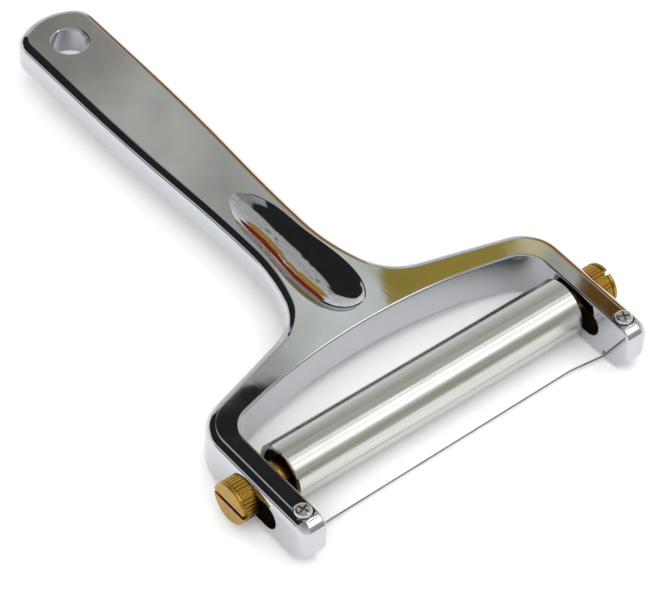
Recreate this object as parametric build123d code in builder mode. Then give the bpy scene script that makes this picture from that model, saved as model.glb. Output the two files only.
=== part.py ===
"""Cheese wire cutter: a one-piece handle and yoke, a roller on an adjustable axle, and a taut cutting wire.

Frame: millimetres, +X across the tool, +Y from the wire towards the end of the handle, +Z up.
The origin is under the middle of the tool's overall box, on the surface that the roller rests on.
"""
import os
from math import acos, atan, atan2, cos, degrees, hypot, radians, sin, tan

from build123d import *

os.makedirs("parts", exist_ok=True)

# ---- driving dimensions ----
length = 196.8                                # arm tips to handle end
tip_y, end_y = -length / 2, length / 2

roller_r = 8.5
roller_len = 98.8
roller_wall = 1.5
roller_x = 1.0                                # the tube floats on its axle, a little to one side
roller_y = -74.0
roller_z = roller_r                           # the roller touches the table

casting_top = roller_z + 7.7
arm_under = roller_z - 7.7
yoke_under = 4.4
handle_under = 6.0
outer_half = 60.0                             # outer faces of the arms
inner_half = 52.3                             # inner faces of the arms
edge_r = 2.8                                  # rounding of the outer edges
inner_edge_r = 0.6                            # rounding of the edges inside the yoke

handle_half = 12.75                           # half width near the handle's end
handle_wide_y = 63.6
swell_upper = 0.6                             # share of the handle's swell that is convex
neck_half, neck_y = 10.5, -11.4               # half width at the narrowest
flank_r, flank_turn = 58.8, 20.0
flare_r = 16.5
shoulder_drop = 16.0                          # slope of the shoulders, degrees
shoulder_r = 12.5
end_r, end_corner_turn = 18.0, 60.0

yoke_inner_y = -50.7                          # inner edge of the yoke at the middle
yoke_inner_r = 182.0
yoke_corner_r = 8.0
tip_top_r, tip_under_r = 4.2, 6.4
yoke_rise = (-61.4, -48.4)                    # where the underside climbs from the arms to the yoke
handle_rise = (-46.0, -28.0)                  # and on from the yoke to the handle

hang_y = 84.3
hang_r = 5.2
hang_edge_r, hang_under_r = 0.6, 2.6           # the hole's rim above, and its wider one below

dish_axis_up = 8.0                            # height of the dish's axis above the top face
dish_low_y, dish_high_y = -45.9, 7.8
dish_low, dish_waist = (-34.4, 3.65), (-13.4, 2.6)      # (y, depth) of the floor at two places
dish_low_slope, dish_high_slope = 0.8, -0.3
dish_edge_r = 0.5

slot_half = 4.0                               # half height of the slots in the arms
slot_travel = 8.7                             # how far the roller moves towards the wire
slot_edge_r = 0.3
fit_gap = 0.1                                 # screw shoulders in the slots, heads beside the arms
running_fit = 0.05

axle_r = 4.76
bush_len, bush_inset = 7.0, 3.5

thread_r, thread_len = 2.5, 12.0
knob_r, knob_len = 6.15, 5.3
knob_band = 1.1                               # smooth rim at the knob's face
knob_line = 0.3                               # fine groove behind the rim
knurl_count, knurl_r, knurl_deep = 36, 0.42, 0.35
knob_slot_w, knob_slot_deep = 1.3, 1.5
left_slot_turn, right_slot_turn = 0.0, 106.0  # degrees, as the screws happen to stand

clamp_x, clamp_y = 55.6, -92.2
clamp_r = 1.25
clamp_hole_r = 1.3
clamp_head_r, clamp_head_h = 2.5, 1.6
cross_w, cross_deep = 0.6, 0.9
recess_r, recess_deep = 2.95, 0.5
pocket_r, pocket_deep = 2.6, 2.3
nut_r = 2.35

wire_r = 0.25
wire_z = arm_under + 0.3
wire_left_y, wire_right_y = -89.5, -90.0      # where the wire leaves each arm
wire_kink_x, wire_kink_y = 41.5, -88.6
wire_bend_r, wire_kink_r = 0.8, 25.0
eye_r = clamp_r + wire_r + running_fit
eye_z = arm_under + pocket_deep - wire_r - 0.02
nut_low, nut_high = arm_under + 0.1, eye_z - wire_r - 0.02
groove_w = 0.9


def wire_end(side, entry_y):
    """The wire's end run: where it leaves the arm, where it levels out beside the nut, and its loop."""
    inward, forward = clamp_x - inner_half, entry_y - clamp_y
    turn = atan2(forward, inward) + acos(eye_r / hypot(inward, forward))
    loop = Vector(side * (clamp_x - eye_r * cos(turn)), clamp_y + eye_r * sin(turn), eye_z)
    entry = Vector(side * inner_half, entry_y, wire_z)
    level = Vector(entry.X, entry.Y, eye_z) - loop
    beside_nut = loop + level * (((nut_r + 2 * wire_r) ** 2 - eye_r ** 2) ** 0.5 / level.length)
    return entry, beside_nut, loop


left_end, right_end = wire_end(-1, wire_left_y), wire_end(1, wire_right_y)
clamp_spots = ((-clamp_x, clamp_y), (clamp_x, clamp_y))


# ---- handle, yoke and arms in one casting ----
def right_outline():
    """Outline from the middle of the handle's end, down the right side, to the arm's tip."""
    cheek_turn = radians(end_corner_turn)
    cheek_r = (handle_half - end_r * cos(cheek_turn)) / (1 - cos(cheek_turn))
    swell_turn = 2 * atan((handle_half - neck_half) / (handle_wide_y - neck_y))
    swell_r = (handle_wide_y - neck_y) / sin(swell_turn)
    lean = degrees(swell_turn)
    end = JernArc((0, end_y), (1, 0), end_r, end_corner_turn - 90)
    cheek = JernArc(end @ 1, end % 1, cheek_r, -end_corner_turn)
    side = Line(cheek @ 1, (handle_half, handle_wide_y))
    upper = JernArc(side @ 1, side % 1, swell_upper * swell_r, -lean)
    lower = JernArc(upper @ 1, upper % 1, (1 - swell_upper) * swell_r, lean)
    flank = JernArc(lower @ 1, lower % 1, flank_r, flank_turn)
    flare = JernArc(flank @ 1, flank % 1, flare_r, 90 - flank_turn - shoulder_drop)
    slope = radians(shoulder_drop)
    run = outer_half - shoulder_r * (1 - sin(slope)) - (flare @ 1).X
    shoulder = Line(flare @ 1, flare @ 1 + Vector(run, -run * tan(slope)))
    corner = JernArc(shoulder @ 1, shoulder % 1, shoulder_r, shoulder_drop - 90)
    Line(corner @ 1, (outer_half, tip_y))


with BuildPart() as frame_casting:
    with BuildSketch(Plane.XY):
        with BuildLine():
            right_outline()
            Line((outer_half, tip_y), (0, tip_y))
            mirror(about=Plane.YZ)
        make_face()
    extrude(amount=casting_top)
    # window between the arms
    with BuildSketch(Plane.XY) as window:
        with BuildLine():
            drop = yoke_inner_r - (yoke_inner_r ** 2 - inner_half ** 2) ** 0.5
            bow = ThreePointArc((-inner_half, yoke_inner_y - drop), (0, yoke_inner_y),
                                (inner_half, yoke_inner_y - drop))
            Polyline(bow @ 1, (inner_half, tip_y - 1), (-inner_half, tip_y - 1), bow @ 0)
        make_face()
        fillet(window.vertices().group_by(Axis.Y)[-1], yoke_corner_r)
    extrude(amount=casting_top, mode=Mode.SUBTRACT)
    # side profile: rounded tips, deep arms, shallower yoke and handle
    with BuildSketch(Plane.YZ.offset(-outer_half - 1)) as side_view:
        with BuildLine():
            for (front_y, back_y), low, high in ((yoke_rise, arm_under, yoke_under),
                                                 (handle_rise, yoke_under, handle_under)):
                middle = ((front_y + back_y) / 2, (low + high) / 2)
                climb = TangentArc((front_y, low), middle, tangent=(1, 0))
                level = TangentArc(climb @ 1, (back_y, high), tangent=climb % 1)
            Line((yoke_rise[1], yoke_under), (handle_rise[0], yoke_under))
            Polyline(level @ 1, (end_y + 1, handle_under), (end_y + 1, casting_top),
                     (tip_y, casting_top), (tip_y, arm_under), (yoke_rise[0], arm_under))
        make_face()
        fillet(side_view.vertices().group_by(Axis.X)[0].sort_by(Axis.Y)[0], tip_under_r)
        fillet(side_view.vertices().group_by(Axis.X)[0].sort_by(Axis.Y)[-1], tip_top_r)
    extrude(amount=2 * outer_half + 2, mode=Mode.INTERSECT)
    # rounded outer edges, and finer ones inside the yoke; a picked edge's fillet runs on round its outline
    long_edges = frame_casting.edges().filter_by(Axis.Y).group_by(Axis.X)
    outer_long = long_edges[-1].sort_by(Axis.Z)
    fillet((outer_long[0], outer_long[-1]), edge_r)
    inner_long = frame_casting.edges().filter_by(Axis.Y).filter_by_position(
        Axis.X, inner_half - 0.01, inner_half + 0.01)
    fillet(inner_long.sort_by(Axis.Z)[-1], inner_edge_r)
    # thumb dish: a trough turned about an axis above the handle
    with BuildSketch(Plane.YZ):
        with BuildLine():
            over = casting_top + 2 * dish_axis_up
            floor = Spline((dish_low_y, over), (dish_low[0], over + dish_low[1]),
                           (dish_waist[0], over + dish_waist[1]), (dish_high_y, over),
                           tangents=((1, dish_low_slope), (1, dish_high_slope)))
            Polyline(floor @ 1, (dish_high_y, casting_top + dish_axis_up),
                     (dish_low_y, casting_top + dish_axis_up), floor @ 0)
        make_face()
    revolve(axis=Axis((0, 0, casting_top + dish_axis_up), (0, 1, 0)), mode=Mode.SUBTRACT)
    top_face = frame_casting.faces().filter_by(Axis.Z).sort_by(Axis.Z)[-1]
    fillet(top_face.inner_wires()[0].edges(), dish_edge_r)
    # hanging hole
    with BuildSketch(Plane.XY):
        with Locations((0, hang_y)):
            Circle(hang_r)
    extrude(amount=casting_top, mode=Mode.SUBTRACT)
    for end, rim_r in ((0, hang_under_r), (-1, hang_edge_r)):
        hang_rims = frame_casting.edges().filter_by(GeomType.CIRCLE).filter_by(
            lambda rim: abs(rim.radius - hang_r) < 0.01 and abs(rim.arc_center.Y - hang_y) < 0.01)
        fillet(hang_rims.sort_by(Axis.Z)[end], rim_r)
    # adjustment slots through both arms
    with BuildSketch(Plane.YZ.offset(-outer_half - 1)):
        with Locations((roller_y - slot_travel / 2, roller_z)):
            SlotCenterToCenter(slot_travel, 2 * slot_half)
    extrude(amount=2 * outer_half + 2, mode=Mode.SUBTRACT)
    flanks = frame_casting.faces().filter_by(Axis.X).group_by(Axis.X)
    slot_rims = (flanks[0] + flanks[-1]).edges().filter_by(
        lambda rim: hypot(rim.center().Y - roller_y + slot_travel / 2, rim.center().Z - roller_z) < slot_travel)
    fillet(slot_rims, slot_edge_r)
    # clamp screw holes, their recesses above, and the nut pockets and wire grooves below
    with BuildSketch(Plane.XY):
        with Locations(*clamp_spots):
            Circle(clamp_hole_r)
    extrude(amount=casting_top, mode=Mode.SUBTRACT)
    with BuildSketch(Plane.XY.offset(casting_top)):
        with Locations(*clamp_spots):
            Circle(recess_r)
    extrude(amount=-recess_deep, mode=Mode.SUBTRACT)
    with BuildSketch(Plane.XY):
        with Locations(*clamp_spots):
            Circle(pocket_r)
    extrude(amount=arm_under + pocket_deep, mode=Mode.SUBTRACT)
    with BuildSketch(Plane.XY):
        for entry, _, loop in (left_end, right_end):
            with BuildLine():
                Line((loop.X, loop.Y), (1.3 * entry.X - 0.3 * loop.X, 1.3 * entry.Y - 0.3 * loop.Y))
            trace(line_width=groove_w)
    extrude(amount=arm_under + pocket_deep, mode=Mode.SUBTRACT)
frame_casting.part.label = "frame_casting"
export_step(frame_casting.part, "parts/frame_casting.step")

# ---- roller tube ----
with BuildPart() as roller_tube:
    with BuildSketch(Plane.YZ.offset(roller_x - roller_len / 2)):
        with Locations((roller_y, roller_z)):
            Circle(roller_r)
            Circle(roller_r - roller_wall, mode=Mode.SUBTRACT)
    extrude(amount=roller_len)
    chamfer(roller_tube.edges().filter_by(GeomType.CIRCLE), 0.3)
roller_tube.part.label = "roller_tube"
export_step(roller_tube.part, "parts/roller_tube.step")

# ---- bushes pressed into the tube's ends, running on the axle ----
for side, name in ((-1, "left_roller_bush"), (1, "right_roller_bush")):
    with BuildPart() as bush:
        with BuildSketch(Plane.YZ.offset(roller_x + side * (roller_len / 2 - bush_inset))):
            with Locations((roller_y, roller_z)):
                Circle(roller_r - roller_wall)
                Circle(axle_r + running_fit, mode=Mode.SUBTRACT)
        extrude(amount=-side * bush_len)
        chamfer(bush.edges().filter_by(GeomType.CIRCLE).filter_by(lambda rim: rim.radius < axle_r + 1), 0.3)
    bush.part.label = name
    export_step(bush.part, f"parts/{name}.step")

# ---- axle between the arms, tapped at both ends ----
with BuildPart() as roller_axle:
    with BuildSketch(Plane.YZ.offset(fit_gap - inner_half)):
        with Locations((roller_y, roller_z)):
            Circle(axle_r)
    extrude(amount=2 * (inner_half - fit_gap))
    chamfer(roller_axle.edges().filter_by(GeomType.CIRCLE), 0.3)
    for side in (-1, 1):
        with BuildSketch(Plane.YZ.offset(side * inner_half)):
            with Locations((roller_y, roller_z)):
                Circle(thread_r + running_fit)
        extrude(amount=-side * (thread_len + 1), mode=Mode.SUBTRACT)
roller_axle.part.label = "roller_axle"
export_step(roller_axle.part, "parts/roller_axle.step")

# ---- thumb screws: their shoulders ride in the slots and their threads clamp the axle ----
for side, name, slot_turn in ((-1, "left_thumb_screw", left_slot_turn),
                              (1, "right_thumb_screw", right_slot_turn)):
    seat = Plane(origin=(side * (outer_half + fit_gap), roller_y, roller_z),
                 x_dir=(0, 1, 0), z_dir=(side, 0, 0))
    with BuildPart() as screw:
        with BuildSketch(seat):
            Circle(knob_r)
            with PolarLocations(knob_r + knurl_r - knurl_deep, knurl_count):
                Circle(knurl_r, mode=Mode.SUBTRACT)
        extrude(amount=knob_len - knob_band - knob_line)
        with BuildSketch(seat.offset(knob_len - knob_band - knob_line)):
            Circle(knob_r - knurl_deep)
        extrude(amount=knob_line)
        with BuildSketch(seat.offset(knob_len - knob_band)):
            Circle(knob_r)
        extrude(amount=knob_band)
        rim = screw.edges().filter_by(GeomType.CIRCLE).group_by(Axis.X)[-1 if side > 0 else 0]
        fillet(rim, 0.35)
        with BuildSketch(seat.offset(knob_len)):
            Rectangle(2 * knob_r + 1, knob_slot_w, rotation=slot_turn)
        extrude(amount=-knob_slot_deep, mode=Mode.SUBTRACT)
        with BuildSketch(seat):
            Circle(slot_half - fit_gap)
        extrude(amount=inner_half - outer_half - fit_gap)
        with BuildSketch(seat.offset(inner_half - outer_half - fit_gap)):
            Circle(thread_r)
        extrude(amount=-thread_len)
    screw.part.label = name
    export_step(screw.part, f"parts/{name}.step")

# ---- clamp screws and the nuts that pinch the wire's loops ----
for side, name, cross_turn in ((-1, "left_clamp_screw", 20.0), (1, "right_clamp_screw", 65.0)):
    head_seat = casting_top - recess_deep
    with BuildPart() as pan_screw:
        with BuildSketch(Plane.XY.offset(head_seat)):
            with Locations((side * clamp_x, clamp_y)):
                Circle(clamp_head_r)
        extrude(amount=clamp_head_h)
        fillet(pan_screw.edges().group_by(Axis.Z)[-1], 0.9)
        with BuildSketch(Plane.XY.offset(head_seat + clamp_head_h)):
            with Locations((side * clamp_x, clamp_y)):
                Rectangle(1.3 * clamp_head_r, cross_w, rotation=cross_turn)
                Rectangle(1.3 * clamp_head_r, cross_w, rotation=cross_turn + 90)
        extrude(amount=-cross_deep, taper=12, mode=Mode.SUBTRACT)
        with BuildSketch(Plane.XY.offset(head_seat)):
            with Locations((side * clamp_x, clamp_y)):
                Circle(clamp_r)
        extrude(amount=nut_low - head_seat)
    pan_screw.part.label = name
    export_step(pan_screw.part, f"parts/{name}.step")

for side, name in ((-1, "left_wire_nut"), (1, "right_wire_nut")):
    with BuildPart() as nut:
        with BuildSketch(Plane.XY.offset(nut_low)):
            with Locations((side * clamp_x, clamp_y)):
                Circle(nut_r)
                Circle(clamp_r, mode=Mode.SUBTRACT)
        extrude(amount=nut_high - nut_low)
    nut.part.label = name
    export_step(nut.part, f"parts/{name}.step")

# ---- cutting wire: a taut run, bent near its right end, with a loop at each clamp screw ----
with BuildPart() as cutting_wire:
    with BuildLine() as run:
        FilletPolyline(*reversed(left_end), (wire_kink_x, wire_kink_y, wire_z), *right_end,
                       radius=(wire_bend_r, wire_bend_r, wire_kink_r, wire_bend_r, wire_bend_r))
    with BuildSketch(Plane(origin=run.line @ 0, z_dir=run.line % 0)):
        Circle(wire_r)
    sweep()
    for spot in clamp_spots:
        with Locations((*spot, eye_z)):
            Torus(eye_r, wire_r)
cutting_wire.part.label = "cutting_wire"
export_step(cutting_wire.part, "parts/cutting_wire.step")
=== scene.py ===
"""Cheese wire cutter: looks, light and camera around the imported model. Metres, +Z up."""
import math

import bpy
from mathutils import Matrix, Vector

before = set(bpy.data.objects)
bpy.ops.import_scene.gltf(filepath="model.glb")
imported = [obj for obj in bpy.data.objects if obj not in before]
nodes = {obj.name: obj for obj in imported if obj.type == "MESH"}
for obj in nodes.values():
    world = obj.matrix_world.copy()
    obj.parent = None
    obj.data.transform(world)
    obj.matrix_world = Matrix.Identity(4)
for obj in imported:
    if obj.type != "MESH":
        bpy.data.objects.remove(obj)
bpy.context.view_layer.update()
scene = bpy.context.scene


# ---- camera: a long lens from the front left, looking down ----
EYE = Vector((-0.43066, -0.51594, 0.71229))
AIM = Vector((0.00056, -0.03318, 0.00994))
ROLL = math.radians(3.66)
SENSOR_MM, LENS_MM = 36.0, 192.66
CLIP = (0.05, 20.0)


def make_camera():
    back = (EYE - AIM).normalized()
    level_right = Vector((0, 0, 1)).cross(back).normalized()
    level_up = back.cross(level_right)
    right = level_right * math.cos(ROLL) + level_up * math.sin(ROLL)
    up = level_up * math.cos(ROLL) - level_right * math.sin(ROLL)
    data = bpy.data.cameras.new("camera")
    data.sensor_width = SENSOR_MM
    data.lens = LENS_MM
    data.clip_start, data.clip_end = CLIP
    camera = bpy.data.objects.new("camera", data)
    turn = Matrix((right, up, back)).transposed().to_4x4()
    camera.matrix_world = Matrix.Translation(EYE) @ turn
    scene.collection.objects.link(camera)
    scene.camera = camera


# ---- node helpers ----
class Graph:
    """A node tree with short ways to add and wire nodes."""

    def __init__(self, tree):
        self.tree = tree
        tree.nodes.clear()

    def node(self, kind, inputs=None, **settings):
        made = self.tree.nodes.new(kind)
        for key, value in settings.items():
            setattr(made, key, value)
        for key, value in (inputs or {}).items():
            self.feed(made.inputs[key], value)
        return made

    def feed(self, socket, value):
        if isinstance(value, bpy.types.NodeSocket):
            self.tree.links.new(value, socket)
        else:
            socket.default_value = value

    def math(self, operation, a, b=0.0, c=0.0):
        made = self.node("ShaderNodeMath", {0: a, 1: b, 2: c}, operation=operation)
        return made.outputs[0]

    def smooth(self, value, source, target=(0.0, 1.0)):
        """Turns the source range into the target range, eased at both ends and flat beyond them."""
        made = self.node("ShaderNodeMapRange", {"Value": value,
                                                "From Min": source[0], "From Max": source[1],
                                                "To Min": target[0], "To Max": target[1]},
                         interpolation_type="SMOOTHSTEP")
        return made.outputs["Result"]

    def mix(self, factor, a, b):
        """Colour a where the factor is 0 and b where it is 1."""
        made = self.node("ShaderNodeMix", data_type="RGBA")
        self.feed(made.inputs[0], factor)
        self.feed(made.inputs[6], a)
        self.feed(made.inputs[7], b)
        return made.outputs[2]

    def noise(self, vector, scale, detail=3.0, roughness=0.5):
        made = self.node("ShaderNodeTexNoise", {"Vector": vector, "Scale": scale, "Detail": detail,
                                                "Roughness": roughness})
        return made.outputs["Fac"]

    def stretched_noise(self, vector, scales, detail, roughness=0.5):
        """Noise with its own scale along each axis."""
        made = self.node("ShaderNodeMapping", {"Vector": vector, "Scale": scales})
        return self.noise(made.outputs["Vector"], 1.0, detail, roughness)

    def bump(self, height, distance, strength, normal=None):
        made = self.node("ShaderNodeBump", {"Height": height, "Distance": distance,
                                            "Strength": strength})
        if normal is not None:
            self.feed(made.inputs["Normal"], normal)
        return made.outputs["Normal"]


def opaque(colour):
    return (*colour, 1.0)


# ---- studio: room tones as soft patches of the sky, and two soft lights ----
# place on the way from straight down to straight up, level of grey
SKY_RAMP = ((0.0, 0.85), (0.5, 0.85), (0.62, 0.70), (0.83, 0.50), (1.0, 0.26))

# azimuth from +X towards +Y, elevation, radius and softness in degrees, colour; later ones on top
SKY_PATCHES = (
    # dark room, in the thumb dish and along the roundings
    (95, 55, 25, 2, (0.02, 0.02, 0.022)),
    (130, 40, 22, 2, (0.02, 0.02, 0.022)),
    (100, 36, 20, 2, (0.02, 0.02, 0.022)),
    # grey room, in the flat faces of the handle and yoke
    (45, 60, 14, 2, (0.44, 0.44, 0.42)),
    (53, 44, 6, 2, (0.46, 0.46, 0.415)),
    (57, 42, 2.5, 1.5, (0.31, 0.295, 0.26)),
    (47.9, 47.5, 1.2, 0.4, (0.64, 0.66, 0.61)),
    # black in the top of the left arm, and a grey beside it
    (49.35, 50.35, 1.52, 0.04, (0.022, 0.022, 0.023)),
    (15, 60, 8, 3, (0.46, 0.46, 0.43)),
    # gold and red in the thumb dish
    (36, 31, 9, 1.5, (0.36, 0.22, 0.05)),
    (32, 16, 9, 1, (0.22, 0.024, 0.01)),
    # olive to brown in the right shoulder and arm
    (45.1, 46.7, 1.3, 0.06, (0.34, 0.25, 0.05)),
    (43.3, 46.2, 0.35, 0.2, (0.66, 0.60, 0.36)),
    (42.7, 46.4, 0.3, 0.15, (0.40, 0.41, 0.33)),
    (41.1, 47.05, 0.85, 0.05, (0.13, 0.066, 0.014)),
    # greys low on the horizon
    (-61, 12, 16, 1.5, (0.36, 0.36, 0.31)),
    (149, 6, 8, 1.5, (0.30, 0.32, 0.34)),
    # bright bands along the roller
    (-12, 62, 4, 0.7, (1.8, 1.8, 1.8)),
    (-35, 56, 7, 0.7, (1.8, 1.8, 1.8)),
    (-51, 43, 8, 0.7, (1.8, 1.8, 1.8)),
)
CLUTTER_SCALE, CLUTTER_DETAIL, CLUTTER_ROUGHNESS = 26.0, 5.0, 0.6
CLUTTER_STRENGTH = (1.02, 1.56)

# name, place, size, power; both point at the origin
LIGHTS = (
    ("overhead_softbox", (-0.10, 0.10, 1.5), (3.2, 3.2), 40.0),
    ("left_fill", (-1.2, -0.3, 0.7), (1.6, 1.2), 9.0),
)

FLOOR_HALF, FLOOR_CELLS = 1.6, 16
PAPER_TONE, PAPER_ROUGHNESS = (0.93, 0.93, 0.93), 0.9


def patch(graph, sky, direction, azimuth, elevation, radius, softness, colour):
    """Lays one soft round patch of colour over the sky."""
    turn, rise = math.radians(azimuth), math.radians(elevation)
    centre = (math.cos(turn) * math.cos(rise), math.sin(turn) * math.cos(rise), math.sin(rise))
    dot = graph.node("ShaderNodeVectorMath", {0: direction, 1: centre}, operation="DOT_PRODUCT")
    outer, inner = (math.cos(math.radians(radius + step)) for step in (softness, -softness))
    inside = graph.smooth(dot.outputs["Value"], (outer, inner))
    return graph.mix(inside, sky, opaque(colour))


def make_world():
    world = bpy.data.worlds.new("studio")
    world.use_nodes = True
    scene.world = world
    graph = Graph(world.node_tree)
    direction = graph.node("ShaderNodeTexCoord").outputs["Generated"]
    height = graph.node("ShaderNodeSeparateXYZ", {0: direction}).outputs["Z"]
    from_below = graph.math("MULTIPLY_ADD", height, 0.5, 0.5)
    ramp = graph.node("ShaderNodeValToRGB", {"Fac": from_below})
    stops = ramp.color_ramp.elements
    while len(stops) < len(SKY_RAMP):
        stops.new(0.5)
    for stop, (place, level) in zip(stops, SKY_RAMP):
        stop.position = place
        stop.color = opaque((level, level, level))
    sky = ramp.outputs["Color"]
    for spot in SKY_PATCHES:
        sky = patch(graph, sky, direction, *spot)
    clutter = graph.noise(direction, CLUTTER_SCALE, CLUTTER_DETAIL, CLUTTER_ROUGHNESS)
    strength = graph.smooth(clutter, (0.3, 0.7), CLUTTER_STRENGTH)
    shade = graph.node("ShaderNodeBackground", {"Color": sky, "Strength": strength})
    graph.node("ShaderNodeOutputWorld", {"Surface": shade.outputs[0]})


def area_light(name, place, size, power):
    """A soft light that lights the scene but does not show in the metal."""
    data = bpy.data.lights.new(name, "AREA")
    data.shape = "RECTANGLE"
    data.size, data.size_y = size
    data.energy = power
    lamp = bpy.data.objects.new(name, data)
    lamp.location = place
    lamp.rotation_euler = Vector(place).to_track_quat("Z", "Y").to_euler()
    lamp.visible_glossy = False
    scene.collection.objects.link(lamp)


def make_floor():
    row = FLOOR_CELLS + 1
    ticks = [FLOOR_HALF * (2 * tick / FLOOR_CELLS - 1) for tick in range(row)]
    verts = [(x, y, 0.0) for y in ticks for x in ticks]
    faces = []
    for j in range(FLOOR_CELLS):
        for i in range(FLOOR_CELLS):
            corner = j * row + i
            faces.append((corner, corner + 1, corner + row + 1, corner + row))
    mesh = bpy.data.meshes.new("paper_floor")
    mesh.from_pydata(verts, [], faces)
    floor = bpy.data.objects.new("paper_floor", mesh)
    scene.collection.objects.link(floor)
    material, graph, place = new_material("paper")
    grain = graph.noise(place, scale=900.0, detail=4.0)
    normal = graph.bump(grain, distance=0.00002, strength=0.3)
    finish_material(graph, **{"Base Color": opaque(PAPER_TONE), "Roughness": PAPER_ROUGHNESS,
                              "Normal": normal})
    mesh.materials.append(material)


# ---- materials ----
CHROME_TONES = (0.49, 0.510, 0.540), (0.555, 0.567, 0.585)
CHROME_ROUGHNESS = (0.015, 0.05)
# near-black tones for the slot walls: painted shade standing in for the dark inside the slots
SLOT_SHADE_TONES = (0.012, 0.010, 0.008), (0.07, 0.055, 0.04)
SLOT_ROUGHNESS = 0.5
PLASTIC_TONES = (0.012, 0.012, 0.013), (0.03, 0.03, 0.03)
PLASTIC_ROUGHNESS = (0.45, 0.6)

# the slots in the arms: centre of the back end and how far it runs towards the wire, height, radius
SLOT_BACK, SLOT_TRAVEL, SLOT_Z, SLOT_R = -0.0740, 0.0087, 0.0085, 0.0040
SLOT_BLEND = (0.00005, 0.0002)

# how much a blotch adds to a drawn metal's roughness
BLOTCH_ROUGHNESS = 0.10

# nodes, material, light and dark tone, roughness, scales of the streaks along X, Y and Z
DRAWN_METALS = (
    (("roller_tube",), "satin_aluminium",
     (0.61, 0.605, 0.58), (0.53, 0.52, 0.495), (0.12, 0.19), (30.0, 1500.0, 1500.0)),
    (("left_thumb_screw", "right_thumb_screw", "roller_axle"), "turned_brass",
     (0.43, 0.255, 0.046), (0.36, 0.21, 0.037), (0.16, 0.24), (2500.0, 300.0, 300.0)),
    (("left_clamp_screw", "right_clamp_screw"), "bright_zinc",
     (0.64, 0.64, 0.62), (0.52, 0.52, 0.51), (0.14, 0.22), (600.0, 600.0, 600.0)),
    (("left_wire_nut", "right_wire_nut"), "turned_steel",
     (0.62, 0.62, 0.62), (0.5, 0.5, 0.5), (0.25, 0.35), (900.0, 900.0, 900.0)),
    (("cutting_wire",), "drawn_wire",
     (0.34, 0.34, 0.35), (0.24, 0.24, 0.25), (0.25, 0.35), (60.0, 3000.0, 3000.0)),
)


def new_material(name):
    material = bpy.data.materials.new(name)
    material.use_nodes = True
    graph = Graph(material.node_tree)
    place = graph.node("ShaderNodeTexCoord").outputs["Object"]
    return material, graph, place


def finish_material(graph, **sockets):
    shade = graph.node("ShaderNodeBsdfPrincipled", sockets)
    graph.node("ShaderNodeOutputMaterial", {"Surface": shade.outputs[0]})


def inside_slots(graph, place):
    """1 within the arms' slots, on their walls, and 0 on the rest of the casting; it marks where the
    painted shade goes.
    """
    _, along, upward = graph.node("ShaderNodeSeparateXYZ", {0: place}).outputs
    nearest = graph.math("MAXIMUM", along, SLOT_BACK - SLOT_TRAVEL)
    nearest = graph.math("MINIMUM", nearest, SLOT_BACK)
    off_y = graph.math("SUBTRACT", along, nearest)
    off_z = graph.math("SUBTRACT", upward, SLOT_Z)
    square = graph.math("ADD", graph.math("MULTIPLY", off_y, off_y),
                        graph.math("MULTIPLY", off_z, off_z))
    reach = graph.math("SQRT", square)
    wall, clear = (SLOT_R + step for step in SLOT_BLEND)
    return graph.smooth(reach, (wall, clear), (1.0, 0.0))


def chrome_material():
    """Polished plate with faint waves and hairlines; in the slots the plate gives way to a rough
    near-black tone, a painted shade for the recesses.
    """
    material, graph, place = new_material("chrome_plate")
    waves = graph.noise(place, scale=70.0, detail=2.0)
    hair = graph.stretched_noise(place, scales=(1400.0, 90.0, 900.0), detail=2.0)
    smudge = graph.noise(place, scale=140.0, detail=4.0, roughness=0.6)
    normal = graph.bump(waves, distance=0.00025, strength=0.06)
    normal = graph.bump(hair, distance=0.000004, strength=0.15, normal=normal)
    plate = graph.mix(smudge, *map(opaque, CHROME_TONES))
    rough = graph.smooth(smudge, (0.35, 0.75), CHROME_ROUGHNESS)
    inside = inside_slots(graph, place)
    mottle = graph.noise(place, scale=1100.0, detail=4.0)
    # painted shade: in the slots the plate gives way to near-black tones
    tone = graph.mix(inside, plate, graph.mix(mottle, *map(opaque, SLOT_SHADE_TONES)))
    rough = graph.math("MAXIMUM", rough, graph.math("MULTIPLY", inside, SLOT_ROUGHNESS))
    finish_material(graph, **{"Base Color": tone, "Metallic": 1.0, "Roughness": rough,
                              "Normal": normal})
    return material


def drawn_material(name, light, dark, roughness, streak_scales):
    """Satin metal with fine streaks along one direction."""
    material, graph, place = new_material(name)
    streak = graph.stretched_noise(place, streak_scales, detail=4.0, roughness=0.6)
    blotch = graph.noise(place, scale=90.0)
    tone = graph.mix(graph.smooth(streak, (0.3, 0.75)), opaque(dark), opaque(light))
    rough = graph.smooth(streak, (0.25, 0.8), roughness)
    rough = graph.math("MULTIPLY_ADD", blotch, BLOTCH_ROUGHNESS, rough)
    normal = graph.bump(streak, distance=0.00001, strength=0.4)
    finish_material(graph, **{"Base Color": tone, "Metallic": 1.0, "Roughness": rough,
                              "Normal": normal})
    return material


def plastic_material():
    material, graph, place = new_material("bush_plastic")
    grain = graph.noise(place, scale=2500.0)
    tone = graph.mix(grain, *map(opaque, PLASTIC_TONES))
    rough = graph.smooth(grain, (0.3, 0.7), PLASTIC_ROUGHNESS)
    normal = graph.bump(grain, distance=0.00003, strength=0.3)
    finish_material(graph, **{"Base Color": tone, "Roughness": rough, "Normal": normal})
    return material


def paint(names, material):
    for name in names:
        nodes[name].data.materials.clear()
        nodes[name].data.materials.append(material)


make_camera()
paint(["frame_casting"], chrome_material())
for names, *recipe in DRAWN_METALS:
    paint(names, drawn_material(*recipe))
paint(["left_roller_bush", "right_roller_bush"], plastic_material())
make_floor()
make_world()
for light in LIGHTS:
    area_light(*light)
scene.view_settings.view_transform = "Standard"
scene.view_settings.look = "None"
